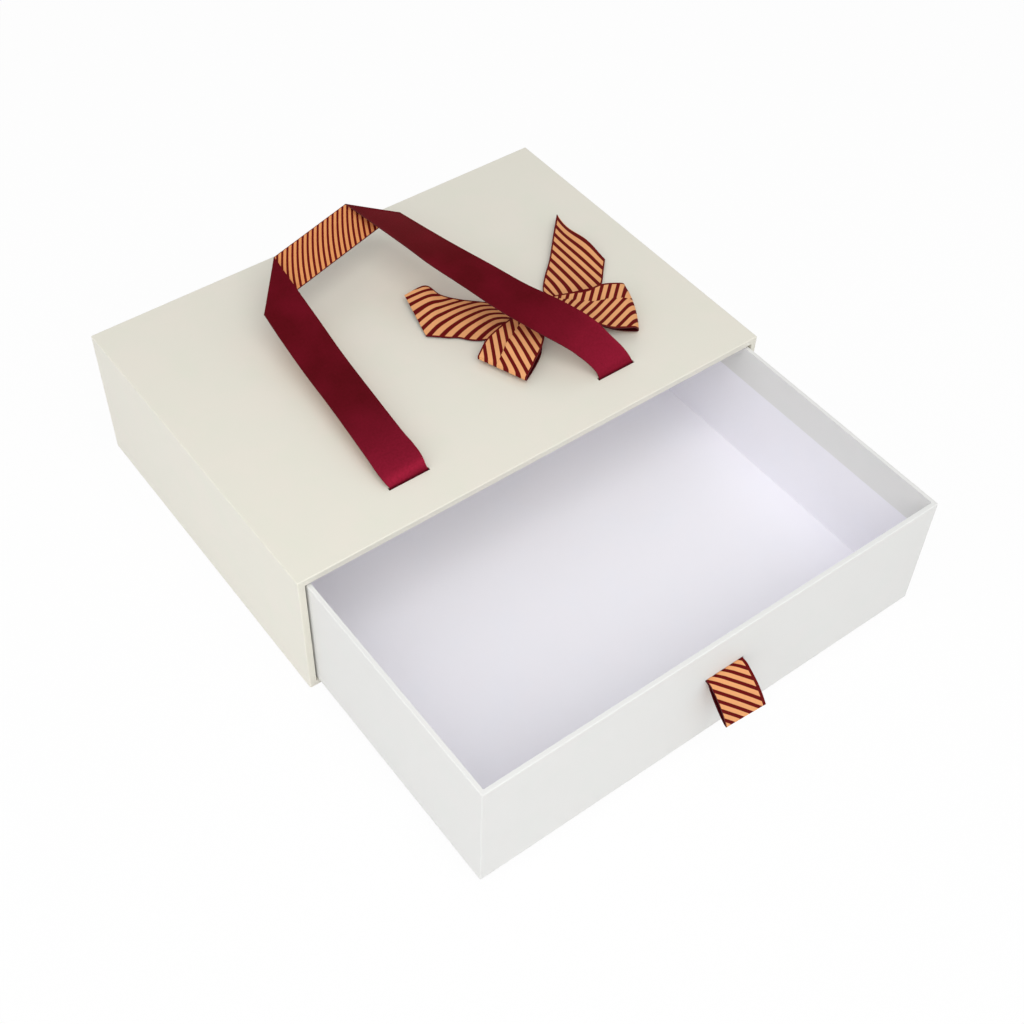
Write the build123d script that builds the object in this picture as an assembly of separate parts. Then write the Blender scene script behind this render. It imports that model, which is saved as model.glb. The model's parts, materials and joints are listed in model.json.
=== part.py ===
from build123d import *
import os
from math import cos, hypot, pi, radians, sin

# Sliding drawer gift box: a rigid board sleeve, open at the front, with a board drawer in it.
# A ribbon handle comes out of two slots in the sleeve's lid, a ribbon bow is glued beside it, and
# a folded ribbon tab pulls the drawer.
#
# Frame: millimetres, +Z up, +X to the right along the drawer's front, which faces -Y.
# The origin is the centre of the sleeve's underside. The drawer is modelled as it stands in the
# photograph, partly pulled out along -Y.

# ---- driving dimensions -----------------------------------------------------------------------
# paper and board
paper = 0.3                 # wrapping, lining and base papers
sleeve_board = 2.5          # grey board of the sleeve
drawer_board = 1.4          # grey board of the drawer
stay_thickness = 0.2        # gummed paper stay, pressed into the board at each corner
stay_leg = 12.0
stay_end_gap = 3.0          # between the ends of two stays at a corner of the box
edge_round = 0.6            # the paper's radius over a board edge

# sleeve, measured over its paper
sleeve_width = 240.0
sleeve_depth = 171.0
sleeve_height = 70.5
sleeve_turn_in = 15.0       # paper turned in behind the front edge
turn_under = 14.0           # paper turned under the bottom edges, sleeve and drawer
base_sheet_inset = 3.0      # base papers stop this far from the outside

# drawer
side_clearance = 1.0        # each side, drawer to sleeve
top_clearance = 1.4
running_gap = 0.3           # drawer's underside to the sleeve's floor
back_clearance = 1.0        # behind the closed drawer
drawer_extension = 114.0    # how far it is pulled out in the photograph
drawer_turn_in = 18.0       # paper turned down inside the rim

# ribbons
ribbon_thickness = 0.45
ribbon_width = 19.0         # handle and pull
fold_gap = 1.2              # between the ribbon's two layers at a diagonal fold
slot_play = 1.0             # slot length over the ribbon's width
slot_width = 1.6
slot_spacing = 109.0        # centre to centre along the lid
slot_setback = 20.0         # from the sleeve's front edge
handle_stub = 4.0           # height at which the handle bends, over the lid
hinge_gap = 0.3             # from a bending line to the ribbon that turns about it
bend_clearance = 0.15       # between that ribbon's swing and its fixed end
anchor_tab = 24.0           # ribbon glued down inside the lid
patch_margin = 6.0          # the cover patch, past the glued ribbon
patch_paper = 0.25

# pull tab on the drawer's front
pull_below_rim = 21.7
pull_offset = 1.5           # right of the middle, as in the photograph
pull_length = 21.0
pull_droop = 45.0           # degrees under the horizontal
pull_roll = 8.0             # degrees, its left side hangs lower
pull_outer_bulge = 1.9
pull_inner_bulge = 1.4
pull_layer_gap = 1.0        # between the middles of its two layers, at the slit and at the fold
pull_stub = 0.8
pull_anchor = 18.0

# bow
bow_x = 52.0
bow_y = -20.0
bow_pinch = 10.0            # width of the gathered ribbons in the knot
knot_length = 8.0           # along X
knot_half_depth = 6.5       # along Y, outside
knot_ribbon = 0.5
knot_corner = 1.8
glue_radius = 5.0
glue_height = 0.4

# ---- places worked out from them ----------------------------------------------------------------
half_width = sleeve_width / 2
half_depth = sleeve_depth / 2
front_y = -half_depth
sleeve_wall = sleeve_board + 2 * paper
bottom_board_low = 2 * paper                        # over the base sheet and the turned-under paper
sleeve_floor = bottom_board_low + sleeve_board + paper
sleeve_ceiling = sleeve_height - sleeve_wall
cavity_half_width = half_width - sleeve_wall
cavity_back = half_depth - sleeve_wall

drawer_wall = drawer_board + 2 * paper
drawer_half_width = cavity_half_width - side_clearance
drawer_low = sleeve_floor + running_gap
drawer_top = sleeve_ceiling - top_clearance
drawer_depth = cavity_back - back_clearance - front_y
drawer_front_y = front_y - drawer_extension
drawer_back_y = drawer_front_y + drawer_depth
drawer_board_low = drawer_low + 2 * paper
drawer_floor = drawer_board_low + drawer_board + paper

slot_y = front_y + slot_setback
slot_length = ribbon_width + slot_play
handle_hinge_z = sleeve_height + handle_stub
handle_end_top = handle_hinge_z - hypot(ribbon_thickness / 2, hinge_gap) - bend_clearance
pull_z = drawer_top - pull_below_rim
pull_hinge_y = drawer_front_y - pull_stub
pull_half_stack = (pull_layer_gap + ribbon_thickness) / 2
pull_swing_back = max(pull_half_stack * sin(radians(pull_droop)) - hinge_gap, 0)
pull_end_front = pull_hinge_y + pull_swing_back + bend_clearance
slot_xs = (-slot_spacing / 2, slot_spacing / 2)


# ---- helpers ------------------------------------------------------------------------------------
def block(x, y, z):
    """A box between the two ends given for each axis."""
    size = [high - low for low, high in (x, y, z)]
    middle = [(high + low) / 2 for low, high in (x, y, z)]
    return Pos(*middle) * Box(*size)


def section(left, right, normal, thickness):
    """The ribbon's cross-section, from its left edge to its right one."""
    half = normal * (thickness / 2)
    corners = [left + half, right + half, right - half, left - half]
    return Face(Wire.make_polygon(corners, close=True))


def normals_along(pairs):
    """The ribbon's upward normal at each pair of edge points, from the pairs beside it."""
    middles = [(left + right) * 0.5 for left, right in pairs]
    result = []
    for index, (left, right) in enumerate(pairs):
        before = middles[max(index - 1, 0)]
        after = middles[min(index + 1, len(pairs) - 1)]
        result.append((right - left).cross(after - before).normalized())
    return result


def ribbon(stations, thickness=ribbon_thickness):
    """One solid through stations of (left edge, right edge, normal)."""
    return loft([section(*station, thickness) for station in stations], ruled=True)


def flat_length(pairs):
    """The ribbon's length along its middle line."""
    middles = [(left + right) * 0.5 for left, right in pairs]
    return sum((after - before).length for before, after in zip(middles, middles[1:]))


def fold(left, right, normal, outward, gap, steps=4):
    """Stations of a half turn about a crease: from the layer on top to the one underneath.

    left and right are the crease's ends in the upper layer, and outward is the way it bulges.
    """
    centre_shift = normal * (-gap / 2)
    stations = []
    for step in range(steps + 1):
        angle = pi * step / steps
        radial = normal * cos(angle) + outward * sin(angle)
        shift = centre_shift + radial * (gap / 2)
        stations.append((left + shift, right + shift, radial))
    return stations


def stay(board_corner, along, leg_a, leg_b):
    """A folded strip of paper along a board edge: two thin legs that meet at the edge."""
    strips = []
    for leg, sunk in ((leg_a, leg_b), (leg_b, leg_a)):
        span = leg * stay_leg + sunk * stay_thickness + along
        strips.append(Pos(*(board_corner + span * 0.5)) * Box(*(abs(v) for v in span)))
    return strips[0] + strips[1]


def export(shape, name):
    shape.label = name
    export_step(shape, f"parts/{name}.step")
    made.append((name, shape.volume))


made = []
os.makedirs("parts", exist_ok=True)

# ---- sleeve boards --------------------------------------------------------------------------------
board_x = (-half_width + paper, half_width - paper)
board_y = (front_y + paper, half_depth - paper)
board_top = sleeve_height - paper
lid_underside = board_top - sleeve_board
floor_board_top = bottom_board_low + sleeve_board
side_z = (floor_board_top, lid_underside)
inner_x = (board_x[0] + sleeve_board, board_x[1] - sleeve_board)
back_board_y = (board_y[1] - sleeve_board, board_y[1])

slots = [
    block((x - slot_length / 2, x + slot_length / 2),
          (slot_y - slot_width / 2, slot_y + slot_width / 2),
          (sleeve_ceiling - 1, sleeve_height + 1))
    for x in slot_xs
]

# Stays run along the four long edges and round the back, pressed flush into the boards.
stay_setback = stay_leg + stay_end_gap
stay_y = (board_y[0] + stay_setback, board_y[1] - stay_setback)
sleeve_stays = []
for side in (-1, 1):
    for z, inward in ((bottom_board_low, 1), (board_top, -1)):
        corner = Vector(side * board_x[1], stay_y[0], z)
        run = Vector(0, stay_y[1] - stay_y[0], 0)
        sleeve_stays.append(stay(corner, run, Vector(-side, 0, 0), Vector(0, 0, inward)))
    upright = Vector(side * board_x[1], board_y[1], bottom_board_low + stay_setback)
    run = Vector(0, 0, board_top - bottom_board_low - 2 * stay_setback)
    sleeve_stays.append(stay(upright, run, Vector(-side, 0, 0), Vector(0, -1, 0)))
for z, inward in ((bottom_board_low, 1), (board_top, -1)):
    corner = Vector(board_x[0] + stay_setback, board_y[1], z)
    run = Vector(board_x[1] - board_x[0] - 2 * stay_setback, 0, 0)
    sleeve_stays.append(stay(corner, run, Vector(0, -1, 0), Vector(0, 0, inward)))
export(Compound(sleeve_stays), "sleeve_corner_stays")

lid_board = block(board_x, board_y, (lid_underside, board_top)) - slots - sleeve_stays
export(lid_board, "sleeve_top_board")
export(block(board_x, board_y, (bottom_board_low, floor_board_top)) - sleeve_stays, "sleeve_bottom_board")
export(block((board_x[0], inner_x[0]), board_y, side_z) - sleeve_stays, "sleeve_left_board")
export(block((inner_x[1], board_x[1]), board_y, side_z) - sleeve_stays, "sleeve_right_board")
export(block(inner_x, back_board_y, side_z) - sleeve_stays, "sleeve_back_board")

# ---- sleeve papers --------------------------------------------------------------------------------
cavity_x = (-cavity_half_width, cavity_half_width)
cavity_z = (sleeve_floor, sleeve_ceiling)
outside = block((-half_width, half_width), (front_y, half_depth), (paper, sleeve_height))
outside = fillet(outside.edges(), edge_round)
board_space = block(board_x, board_y, (bottom_board_low, board_top))
front_mouth = block(cavity_x, (front_y - 1, board_y[0] + 1), cavity_z)
under_window = block((-half_width + turn_under, half_width - turn_under),
                     (front_y + turn_under, half_depth - turn_under), (0, bottom_board_low + 1))
turned_in = (block(inner_x, (board_y[0], front_y + sleeve_turn_in), side_z)
             - block(cavity_x, (front_y, front_y + sleeve_turn_in + 1), cavity_z))
sleeve_wrap = outside - board_space - front_mouth - under_window + turned_in - slots
export(sleeve_wrap, "sleeve_wrap")

lining_y = (front_y + sleeve_turn_in, back_board_y[0])
sleeve_lining = (block(inner_x, lining_y, side_z)
                 - block(cavity_x, (lining_y[0] - 1, cavity_back), cavity_z) - slots)
export(sleeve_lining, "sleeve_lining")

base_x = (-half_width + base_sheet_inset, half_width - base_sheet_inset)
base_y = (front_y + base_sheet_inset, half_depth - base_sheet_inset)
export(block(base_x, base_y, (0, paper)), "sleeve_base_sheet")

# ---- drawer boards --------------------------------------------------------------------------------
tray_x = (-drawer_half_width + paper, drawer_half_width - paper)
tray_y = (drawer_front_y + paper, drawer_back_y - paper)
tray_board_top = drawer_top - paper
base_board_top = drawer_board_low + drawer_board
wall_z = (base_board_top, tray_board_top)
tray_inner_x = (tray_x[0] + drawer_board, tray_x[1] - drawer_board)
tray_inner_y = (tray_y[0] + drawer_board, tray_y[1] - drawer_board)

pull_slit = block((pull_offset - slot_length / 2, pull_offset + slot_length / 2),
                  (drawer_front_y - 1, drawer_front_y + drawer_wall + 1),
                  (pull_z - slot_width / 2, pull_z + slot_width / 2))

drawer_stays = []
for side in (-1, 1):
    for y, inward in ((tray_y[0], 1), (tray_y[1], -1)):
        corner = Vector(side * tray_x[1], y, drawer_board_low)
        run = Vector(0, 0, tray_board_top - drawer_board_low)
        drawer_stays.append(stay(corner, run, Vector(-side, 0, 0), Vector(0, inward, 0)))
export(Compound(drawer_stays), "drawer_corner_stays")

export(block(tray_x, tray_y, (drawer_board_low, base_board_top)) - drawer_stays, "drawer_base_board")
export(block((tray_x[0], tray_inner_x[0]), tray_y, wall_z) - drawer_stays, "drawer_left_board")
export(block((tray_inner_x[1], tray_x[1]), tray_y, wall_z) - drawer_stays, "drawer_right_board")
export(block(tray_inner_x, (tray_y[0], tray_inner_y[0]), wall_z) - drawer_stays - pull_slit,
       "drawer_front_board")
export(block(tray_inner_x, (tray_inner_y[1], tray_y[1]), wall_z) - drawer_stays, "drawer_back_board")

# ---- drawer papers --------------------------------------------------------------------------------
hollow_x = (tray_inner_x[0] + paper, tray_inner_x[1] - paper)
hollow_y = (tray_inner_y[0] + paper, tray_inner_y[1] - paper)
turn_in_low = drawer_top - drawer_turn_in
shell = block((-drawer_half_width, drawer_half_width), (drawer_front_y, drawer_back_y),
              (drawer_low + paper, drawer_top))
shell = fillet(shell.edges(), edge_round)
tray_board_space = block(tray_x, tray_y, (drawer_board_low, tray_board_top))
mouth = block(hollow_x, hollow_y, (tray_board_top - 1, drawer_top + 1))
drawer_window = block((-drawer_half_width + turn_under, drawer_half_width - turn_under),
                      (drawer_front_y + turn_under, drawer_back_y - turn_under),
                      (drawer_low, drawer_board_low + 1))
turned_down = (block(tray_inner_x, tray_inner_y, (turn_in_low, tray_board_top))
               - block(hollow_x, hollow_y, (turn_in_low - 1, drawer_top)))
drawer_wrap = shell - tray_board_space - mouth - drawer_window + turned_down - pull_slit
export(drawer_wrap, "drawer_wrap")

drawer_lining = (block(tray_inner_x, tray_inner_y, (base_board_top, turn_in_low))
                 - block(hollow_x, hollow_y, (drawer_floor, turn_in_low + 1)) - pull_slit)
export(drawer_lining, "drawer_lining")

drawer_base_x = (-drawer_half_width + base_sheet_inset, drawer_half_width - base_sheet_inset)
drawer_base_y = (drawer_front_y + base_sheet_inset, drawer_back_y - base_sheet_inset)
export(block(drawer_base_x, drawer_base_y, (drawer_low, drawer_low + paper)), "drawer_base_sheet")

# ---- handle: one ribbon, bent up out of the slots and folded twice on the diagonal ----------------
# Each station is the middle of the ribbon, its height over the lid, and how its crosswise line is
# turned: yaw about Z and roll up at the right, in degrees.
left_leg = [
    (-55.2, slot_y + 1.9, 6.2, 1, 3),
    (-56.2, slot_y + 5.2, 7.8, 0, 7),
    (-55.9, slot_y + 19.6, 8.2, -4, 6),
    (-54.4, slot_y + 43.5, 8.6, -6, 2),
    (-52.8, slot_y + 67.4, 10.8, -5, 4),
    (-51.7, slot_y + 87.0, 15.2, -4, 6),
]
right_leg = [
    (53.2, slot_y + 2.0, 7.0, 8, 2),
    (50.2, slot_y + 6.0, 11.0, 10, 5),
    (45.2, slot_y + 15.8, 15.2, 12, 12),
    (39.2, slot_y + 30.0, 17.8, 13, 15),
    (32.6, slot_y + 47.0, 19.6, 12, 7),
    (27.4, slot_y + 64.2, 21.6, 12, 1),
    (22.0, slot_y + 83.5, 23.1, 13, -5),
    (18.9, slot_y + 99.5, 23.6, 16, -11),
]
# Ends of the two creases, as heights over the lid: the outer corner of each comes first.
left_crease = (Vector(-60.2, 34.0, 17.6), Vector(-40.8, 56.6, 24.9))
right_crease = (Vector(3.5, 67.2, 27.6), Vector(24.0, 54.3, 21.9))


def on_lid(x, y, height):
    return Vector(x, y, sleeve_height + height)


def leg_pairs(slot_x, stations):
    """Edge points of one leg, from its bending line over the slot towards the crease."""
    half = ribbon_width / 2
    start = on_lid(slot_x, slot_y, handle_stub + hinge_gap)
    pairs = [(start - Vector(half, 0, 0), start + Vector(half, 0, 0))]
    for x, y, height, yaw, roll in stations:
        across = Vector(cos(radians(yaw)) * cos(radians(roll)), sin(radians(yaw)) * cos(radians(roll)),
                        sin(radians(roll))) * half
        middle = on_lid(x, y, height)
        pairs.append((middle - across, middle + across))
    return pairs


lift = Vector(0, 0, sleeve_height)
crease_1 = [corner + lift for corner in left_crease]
crease_2 = [corner + lift for corner in right_crease]
leg_1 = leg_pairs(slot_xs[0], left_leg)
leg_2 = leg_pairs(slot_xs[1], right_leg)


def leg_stations(pairs):
    """The leg's stations, square to its upright end where it starts."""
    normals = [Vector(0, -1, 0)] + normals_along(pairs)[1:]
    return [(left, right, normal) for (left, right), normal in zip(pairs, normals)]


stations_1 = leg_stations(leg_1)
stations_2 = leg_stations(leg_2)

# The cross piece between the creases lies under both legs, a fold's gap below them.
corner_a, corner_b = crease_1
corner_d, corner_f = crease_2
cross_normal = (corner_b - corner_a).cross(corner_a - corner_f).normalized()
if cross_normal.Z < 0:
    cross_normal = -cross_normal
away_1 = (corner_b - corner_a).cross(cross_normal).normalized()
if away_1.dot(corner_f - corner_a) > 0:
    away_1 = -away_1
away_2 = (corner_f - corner_d).cross(cross_normal).normalized()
if away_2.dot(corner_a - corner_d) > 0:
    away_2 = -away_2
fold_1 = fold(corner_a, corner_b, cross_normal, away_1, fold_gap)
fold_2 = fold(corner_f, corner_d, cross_normal, away_2, fold_gap)
begin_left, begin_right, begin_normal = fold_1[-1]
end_left, end_right, end_normal = fold_2[-1]
cross_stations = [
    (begin_left + (end_left - begin_left) * share, begin_right + (end_right - begin_right) * share,
     (begin_normal + (end_normal - begin_normal) * share).normalized())
    for share in (0.25, 0.5, 0.75)
]
# Leg 2 is listed from its slot, so here it is walked backwards, with its edges changed over.
handle_stations = stations_1 + fold_1 + cross_stations + fold_2[::-1] + [
    (right, left, normal) for left, right, normal in reversed(stations_2)]
handle = ribbon(handle_stations)
export(handle, "handle_ribbon")
handle_length = flat_length([station[:2] for station in handle_stations])

# The same ribbon's two ends go down through the slots and are glued back along the inside.
ends = []
for name, x in zip(("left", "right"), slot_xs):
    ribbon_x = (x - ribbon_width / 2, x + ribbon_width / 2)
    rise = block(ribbon_x, (slot_y - ribbon_thickness / 2, slot_y + ribbon_thickness / 2),
                 (sleeve_ceiling - ribbon_thickness, handle_end_top))
    tab = block(ribbon_x, (slot_y - ribbon_thickness / 2, slot_y + anchor_tab),
                (sleeve_ceiling - ribbon_thickness, sleeve_ceiling))
    end = rise + tab
    export(end, f"handle_end_{name}")
    patch = block((ribbon_x[0] - patch_margin, ribbon_x[1] + patch_margin),
                  (slot_y - patch_margin, slot_y + anchor_tab + patch_margin),
                  (sleeve_ceiling - ribbon_thickness - patch_paper, sleeve_ceiling))
    pocket = block(ribbon_x, (slot_y - slot_width / 2, slot_y + anchor_tab),
                   (sleeve_ceiling - ribbon_thickness, sleeve_ceiling + 1))
    export(patch - pocket, f"handle_patch_{name}")

# ---- bow: gathered tails and loops, held by a knot band and glued to the lid -----------------------
# Edge points of each strip, from the bow's middle: x, y and height over the lid, lower edge first.
pinch = bow_pinch / 2
knot_end = knot_length / 2
tail_height = glue_height + knot_ribbon + 0.4
loop_low = tail_height + 0.7
loop_high = loop_low + 3.6
left_tail = [
    ((-53, 19, 1.0), (-46, 46, 2.0)),
    ((-49, 15.5, 1.0), (-35, 45, 3.5)),
    ((-44, 11, 0.9), (-27, 29, 3.0)),
    ((-35, 3, 0.9), (-18, 20, 2.0)),
    ((-18, -3, tail_height), (-10, 10, tail_height)),
]
right_tail = [
    ((17, -4, tail_height), (8, 12, tail_height)),
    ((26, -3, 0.9), (13, 19, 2.4)),
    ((33, 2, 0.9), (22, 27, 2.6)),
    ((44, 14, 1.2), (45, 51, 4.0)),
]


def bow_point(x, y, height):
    return on_lid(bow_x + x, bow_y + y, height)


def bow_pairs(rows):
    return [(bow_point(*low), bow_point(*high)) for low, high in rows]


def pinched(side, height):
    return ((side * knot_end, -pinch, height), (side * knot_end, pinch, height))


tail_pairs = bow_pairs(left_tail + [pinched(-1, tail_height), pinched(1, tail_height)] + right_tail)
tails = ribbon([(*pair, normal) for pair, normal in zip(tail_pairs, normals_along(tail_pairs))])
export(tails, "bow_tails")
tails_length = flat_length(tail_pairs)

# One strip makes both loops: out along the bottom, round the end and back over the top.
left_loop = [
    ((-12, -12, loop_low), (-12, 5, loop_low)),
    ((-20, -21, 1.9), (-29, 2.5, loop_low)),
    ((-33, -29, 1.9), (-42, -6, loop_low)),
    ((-34.6, -29.8, 3.4), (-43.6, -6.8, 3.6)),
    ((-33, -29, 5.0), (-42, -6, 5.2)),
    ((-20, -21.5, 7.6), (-29, 2.2, 7.4)),
    ((-12, -13, 7.6), (-13, 4.5, 7.2)),
]
right_loop = [
    ((10, -12, 7.4), (13, 4.5, 7.2)),
    ((16, -23, 7.2), (27, 0.5, 7.2)),
    ((24, -31.5, 5.2), (37, -4.6, 5.2)),
    ((25, -33, 3.6), (38.2, -5.4, 3.6)),
    ((24, -31.5, 1.9), (37, -4.6, loop_low)),
    ((16, -22.5, 1.9), (27, 0.5, loop_low)),
    ((10, -11, loop_low), (12, 5, loop_low)),
]
half_join = 0.4
loop_rows = (
    [((-half_join, -pinch, loop_low), (-half_join, pinch, loop_low)), pinched(-1, loop_low)]
    + left_loop + [pinched(-1, loop_high), pinched(1, loop_high)] + right_loop
    + [pinched(1, loop_low), ((half_join, -pinch, loop_low), (half_join, pinch, loop_low))])
loop_pairs = bow_pairs(loop_rows)
loops = ribbon([(*pair, normal) for pair, normal in zip(loop_pairs, normals_along(loop_pairs))])
export(loops, "bow_loops")
loops_length = flat_length(loop_pairs)

knot_high = loop_high + 1.0 - glue_height
knot_profile = Plane.YZ * RectangleRounded(2 * knot_half_depth, knot_high, knot_corner)
knot_hole = Plane.YZ * RectangleRounded(2 * (knot_half_depth - knot_ribbon),
                                        knot_high - 2 * knot_ribbon, knot_corner - knot_ribbon)
knot = extrude(knot_profile, knot_end, both=True) - extrude(knot_hole, knot_length, both=True)
export(Pos(*bow_point(0, 0, glue_height + knot_high / 2)) * knot, "bow_knot")
export(Pos(*bow_point(0, 0, glue_height / 2)) * Cylinder(glue_radius, glue_height), "bow_glue_dot")

# ---- pull tab: a doubled ribbon through the slit ---------------------------------------------------
droop = radians(pull_droop)
out_and_down = Vector(0, -cos(droop), -sin(droop))
tab_normal = Vector(0, -sin(droop), cos(droop))


def pull_pair(share, bulge, layer):
    """Edge points at a share of the tab's length, in its outer (+1) or inner (-1) layer."""
    roll = radians(pull_roll) * share
    across = (Vector(1, 0, 0) * cos(roll) + tab_normal * sin(roll)) * (ribbon_width / 2)
    height = 4 * bulge * share * (1 - share) + pull_layer_gap / 2
    root = Vector(pull_offset, pull_hinge_y - hinge_gap, pull_z)
    middle = root + out_and_down * (pull_length * share) + tab_normal * (layer * height)
    return middle - across, middle + across


shares = [0, 0.2, 0.4, 0.6, 0.8, 1]
outer_pairs = [pull_pair(share, pull_outer_bulge, 1) for share in shares]
inner_pairs = [pull_pair(share, pull_inner_bulge, -1) for share in reversed(shares)]
tip_left, tip_right = outer_pairs[-1]
tip_normal = (tip_right - tip_left).cross(out_and_down).normalized()
if tip_normal.Z < 0:
    tip_normal = -tip_normal
tip_fold = fold(tip_left, tip_right, tip_normal, out_and_down, pull_layer_gap)
outer = list(zip(outer_pairs, normals_along(outer_pairs)))
inner = list(zip(inner_pairs, normals_along(inner_pairs)))
outer_sign = 1 if outer[0][1].Z > 0 else -1
inner_sign = 1 if inner[0][1].Z < 0 else -1
pull_stations = ([(*pair, normal * outer_sign) for pair, normal in outer[:-1]] + tip_fold
                 + [(*pair, normal * inner_sign) for pair, normal in inner[1:]])
pull = ribbon(pull_stations)
export(pull, "pull_ribbon")
pull_visible_length = flat_length([station[:2] for station in pull_stations])

strap_x = (pull_offset - ribbon_width / 2, pull_offset + ribbon_width / 2)
inner_face_y = drawer_front_y + drawer_wall
through = block(strap_x, (pull_end_front, inner_face_y + 2 * ribbon_thickness),
                (pull_z - ribbon_thickness, pull_z + ribbon_thickness))
hanging = block(strap_x, (inner_face_y, inner_face_y + 2 * ribbon_thickness),
                (pull_z - pull_anchor, pull_z + ribbon_thickness))
export(through + hanging, "pull_end")
cover = block((strap_x[0] - patch_margin, strap_x[1] + patch_margin),
              (inner_face_y, inner_face_y + 2 * ribbon_thickness + patch_paper),
              (pull_z - pull_anchor - patch_margin, pull_z + patch_margin))
cover_pocket = block(strap_x, (inner_face_y - 1, inner_face_y + 2 * ribbon_thickness),
                     (pull_z - pull_anchor, pull_z + slot_width / 2))
export(cover - cover_pocket, "pull_patch")

# ---- what was made ---------------------------------------------------------------------------------
print(f"{len(made)} nodes")
print(f"handle ribbon {handle_length:.1f} mm over the lid, tails {tails_length:.1f} mm, "
      f"loops {loops_length:.1f} mm, pull {pull_visible_length:.1f} mm outside")
print(f"drawer {2 * drawer_half_width:.1f} x {drawer_depth:.1f} x {drawer_top - drawer_low:.1f} mm, "
      f"{drawer_depth - drawer_extension:.1f} mm of it still in the sleeve")
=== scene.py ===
# %% [markdown]
# # A sliding drawer gift box
# The real thing is a rigid sleeve of grey board covered in cream pearl paper, with a white board
# drawer in it. A satin ribbon makes the carrying handle, and a striped ribbon makes the bow and
# the pull tab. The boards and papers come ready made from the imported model, which this script
# loads as a fixed frame. The lesson is in the finishes, and in the ribbons, which are modelled
# here.

# %% Load the frame
import json
from math import cos, exp, pi, radians, sin

import bpy
from mathutils import Matrix, Vector


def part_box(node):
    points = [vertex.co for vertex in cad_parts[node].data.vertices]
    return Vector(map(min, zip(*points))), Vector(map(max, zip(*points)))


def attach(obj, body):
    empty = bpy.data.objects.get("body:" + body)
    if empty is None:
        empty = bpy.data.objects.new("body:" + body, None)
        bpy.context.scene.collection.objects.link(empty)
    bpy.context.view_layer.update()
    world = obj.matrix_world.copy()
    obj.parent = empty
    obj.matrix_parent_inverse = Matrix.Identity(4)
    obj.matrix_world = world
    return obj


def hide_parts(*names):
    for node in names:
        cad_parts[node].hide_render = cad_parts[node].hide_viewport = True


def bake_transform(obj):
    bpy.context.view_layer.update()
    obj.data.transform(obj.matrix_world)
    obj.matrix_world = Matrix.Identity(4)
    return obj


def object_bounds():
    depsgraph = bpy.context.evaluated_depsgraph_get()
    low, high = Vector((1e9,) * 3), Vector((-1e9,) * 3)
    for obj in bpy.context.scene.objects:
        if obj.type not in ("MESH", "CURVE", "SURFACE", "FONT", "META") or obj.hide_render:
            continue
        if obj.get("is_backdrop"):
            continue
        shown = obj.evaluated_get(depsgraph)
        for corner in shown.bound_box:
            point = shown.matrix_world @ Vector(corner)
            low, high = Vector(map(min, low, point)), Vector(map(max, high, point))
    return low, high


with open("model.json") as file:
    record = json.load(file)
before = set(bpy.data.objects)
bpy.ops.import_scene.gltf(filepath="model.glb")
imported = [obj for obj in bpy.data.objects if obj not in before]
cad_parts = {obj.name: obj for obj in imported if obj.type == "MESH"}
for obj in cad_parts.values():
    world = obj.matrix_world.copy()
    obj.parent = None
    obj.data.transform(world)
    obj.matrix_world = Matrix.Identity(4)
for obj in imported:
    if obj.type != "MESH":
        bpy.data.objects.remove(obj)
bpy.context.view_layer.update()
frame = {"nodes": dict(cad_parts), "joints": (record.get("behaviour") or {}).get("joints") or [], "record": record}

MM = 0.001

# %% [markdown]
# ## Camera
# The camera stands where the photographer stood. Its place comes from a perspective fit of the
# box's corners. A camera could also be aimed with a constraint, but a fitted one has a small
# roll, so its three axes are written out as a rotation.

# %% Camera
camera_place = Vector((-282.863, -418.403, 537.128)) * MM
azimuth, elevation, roll = radians(-38.6893), radians(49.2148), radians(2.2551)
sensor_width, picture_width, focal_pixels = 36.0, 1024, 1541.757

back = Vector((sin(azimuth) * cos(elevation), -cos(azimuth) * cos(elevation), sin(elevation)))
level = Vector((cos(azimuth), sin(azimuth), 0))
upright = back.cross(level)
across = level * cos(roll) + upright * sin(roll)
above = upright * cos(roll) - level * sin(roll)

bpy.ops.object.camera_add()
camera = bpy.context.object
camera.name = "photo_camera"
camera.data.sensor_width = sensor_width
camera.data.lens = sensor_width * focal_pixels / picture_width
camera_axes = Matrix((across, above, back)).transposed().to_4x4()
camera.matrix_world = Matrix.Translation(camera_place) @ camera_axes
bpy.context.scene.camera = camera
print(f"lens {camera.data.lens:.2f} mm")

# %% [markdown]
# ## Writing a material as a sum
# A node tree is easy to read as an expression, such as `grain * 0.2 + 0.4`. One small class wraps
# a socket and turns each sign into a Math node. Every other node comes from one method, which sets
# the node's settings first and then its sockets.

# %% Sockets as numbers
class Shade:
    """One output socket. Plus, minus, times and divide add Math nodes to its material."""

    def __init__(self, recipe, socket):
        self.recipe = recipe
        self.socket = socket

    def maths(self, operation, first, second=0.0):
        return self.recipe.node("Math", {"operation": operation}, {0: first, 1: second})

    def __add__(self, other):
        return self.maths("ADD", self, other)

    def __sub__(self, other):
        return self.maths("SUBTRACT", self, other)

    def __rsub__(self, other):
        return self.maths("SUBTRACT", other, self)

    def __mul__(self, other):
        return self.maths("MULTIPLY", self, other)

    def __truediv__(self, other):
        return self.maths("DIVIDE", self, other)

    def fraction(self):
        return self.maths("FRACT", self)

    def size(self):
        return self.maths("ABSOLUTE", self)

    def wave(self):
        return self.maths("SINE", self)

    def larger(self, other):
        return self.maths("MAXIMUM", self, other)

    def limited(self):
        return self.maths("MINIMUM", self.maths("MAXIMUM", self, 0.0), 1.0)

    def above(self, level, gain):
        """How far it is above a level, times a gain, and kept between 0 and 1."""
        return ((self - level) * gain).limited()

    def positive(self, sharpness):
        """1 where it is positive and 0 where it is negative, with a soft edge between."""
        return (self * sharpness + 0.5).limited()


print("a socket understands + - * /")


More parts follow.
